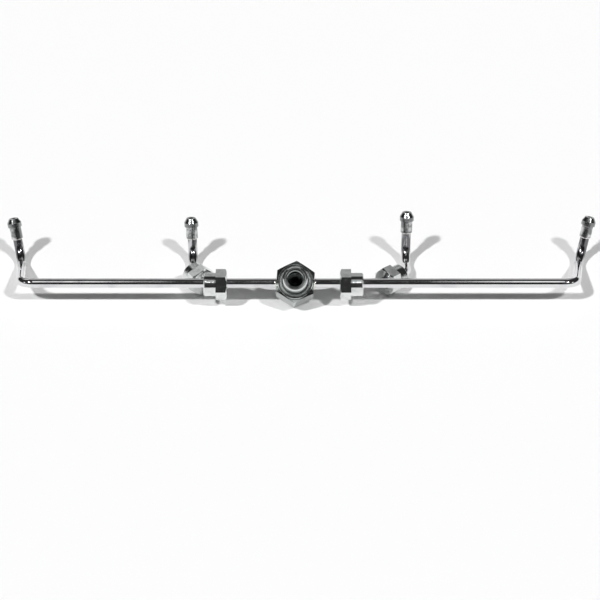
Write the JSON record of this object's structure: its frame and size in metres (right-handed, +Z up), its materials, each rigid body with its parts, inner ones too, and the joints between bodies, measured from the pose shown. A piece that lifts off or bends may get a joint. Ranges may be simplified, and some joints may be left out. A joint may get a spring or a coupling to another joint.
{
  "type": "fuel rail",
  "caption": "Fuel rail of bent steel tubes brazed into a hexagonal threaded inlet fitting, with a coned nipple and a loose union nut on each branch.",
  "frame": {"origin": "middle of the footprint, on the surface the rail lies on", "axes": "+X along the rail to the right as seen from the inlet, +Y back from the inlet to the posts, +Z up"},
  "size_m": [0.3886, 0.0818, 0.0346],
  "materials": {
    "tube": "bright zinc plate, drawn tube",
    "fitting": "bright zinc plate over machined steel",
    "nut": "bright zinc plate over machined steel",
    "nipple": "bright zinc plate over turned steel",
    "braze": "plated braze fillet"
  },
  "bodies": {
    "rail": {"inlet_body": "fitting", "braze_left": "braze", "braze_right": "braze", "tube_left_outer": "tube", "nipple_left_outer": "nipple", "nipple_braze_left_outer": "braze", "tube_left_inner": "tube", "nipple_left_inner": "nipple", "nipple_braze_left_inner": "braze", "tube_right_inner": "tube", "nipple_right_inner": "nipple", "nipple_braze_right_inner": "braze", "tube_right_outer": "tube", "nipple_right_outer": "nipple", "nipple_braze_right_outer": "braze"},
    "union_nut_left_outer": {"nut_left_outer": "nut"},
    "union_nut_left_inner": {"nut_left_inner": "nut"},
    "union_nut_right_inner": {"nut_right_inner": "nut"},
    "union_nut_right_outer": {"nut_right_outer": "nut"}
  },
  "joints": [
    {"name": "nut_left_outer_turn", "type": "hinge", "parent": "rail", "child": "union_nut_left_outer", "pos_m": [-0.04752, -0.02671, 0.01734], "axis": [-1, 0, 0], "continuous": true},
    {"name": "nut_left_inner_turn", "type": "hinge", "parent": "rail", "child": "union_nut_left_inner", "pos_m": [-0.06292, -0.01294, 0.00992], "axis": [-0.5227, 0.8521, -0.0283], "continuous": true},
    {"name": "nut_right_inner_turn", "type": "hinge", "parent": "rail", "child": "union_nut_right_inner", "pos_m": [0.05368, -0.01271, 0.00985], "axis": [0.7184, 0.6937, -0.0523], "continuous": true},
    {"name": "nut_right_outer_turn", "type": "hinge", "parent": "rail", "child": "union_nut_right_outer", "pos_m": [0.02458, -0.02671, 0.01734], "axis": [1, 0, 0], "continuous": true}
  ]
}
